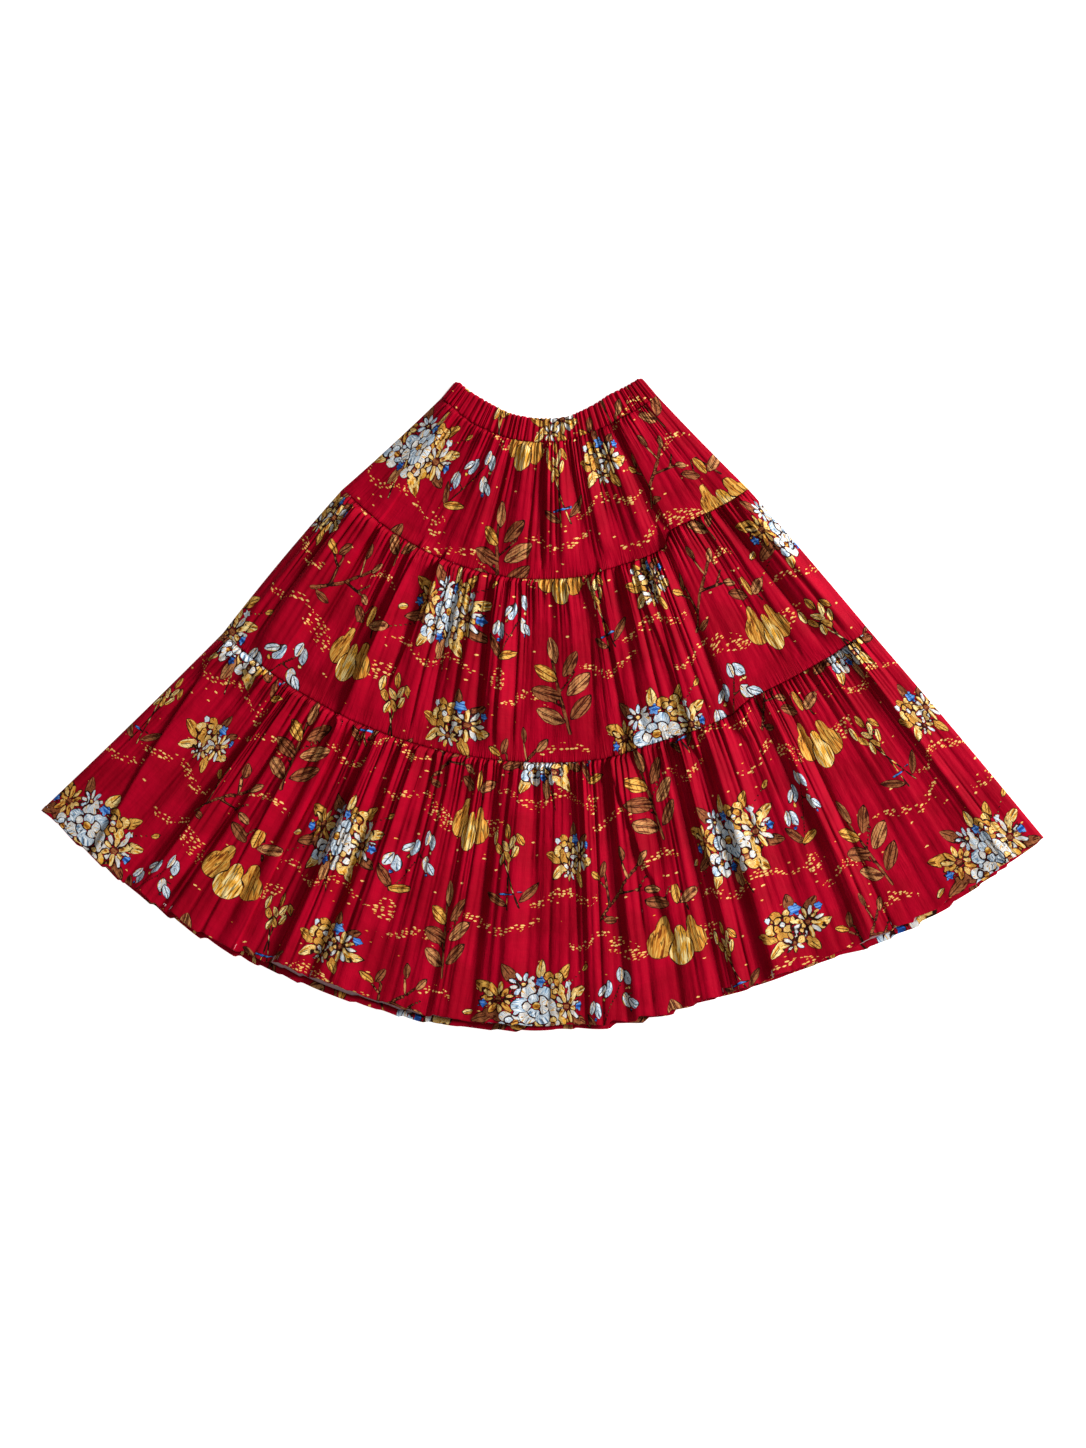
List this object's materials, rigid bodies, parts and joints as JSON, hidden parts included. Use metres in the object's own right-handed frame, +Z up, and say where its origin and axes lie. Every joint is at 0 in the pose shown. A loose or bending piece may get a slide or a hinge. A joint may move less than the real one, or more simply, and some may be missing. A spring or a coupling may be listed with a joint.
{
  "type": "tiered swing skirt",
  "caption": "Tiered swing skirt of printed cotton laid flat: an elastic waistband and three gathered tiers, each wider than the one above.",
  "frame": {"origin": "on the surface that the skirt lies on, under the middle of its outline", "axes": "+X across the skirt, towards its right side as laid; +Y towards the waist; +Z up, from the back panels to the front panels"},
  "size_m": [1.4026, 0.9166, 0.0225],
  "materials": {
    "printed_cotton": "matt plain-weave cotton with an all-over print on deep red"
  },
  "bodies": {
    "root": {"waistband_back": "printed_cotton", "waistband_front": "printed_cotton", "tier1_back": "printed_cotton", "tier1_front": "printed_cotton", "tier2_back": "printed_cotton", "tier2_front": "printed_cotton", "tier3_back": "printed_cotton", "tier3_front": "printed_cotton"}
  },
  "joints": []
}
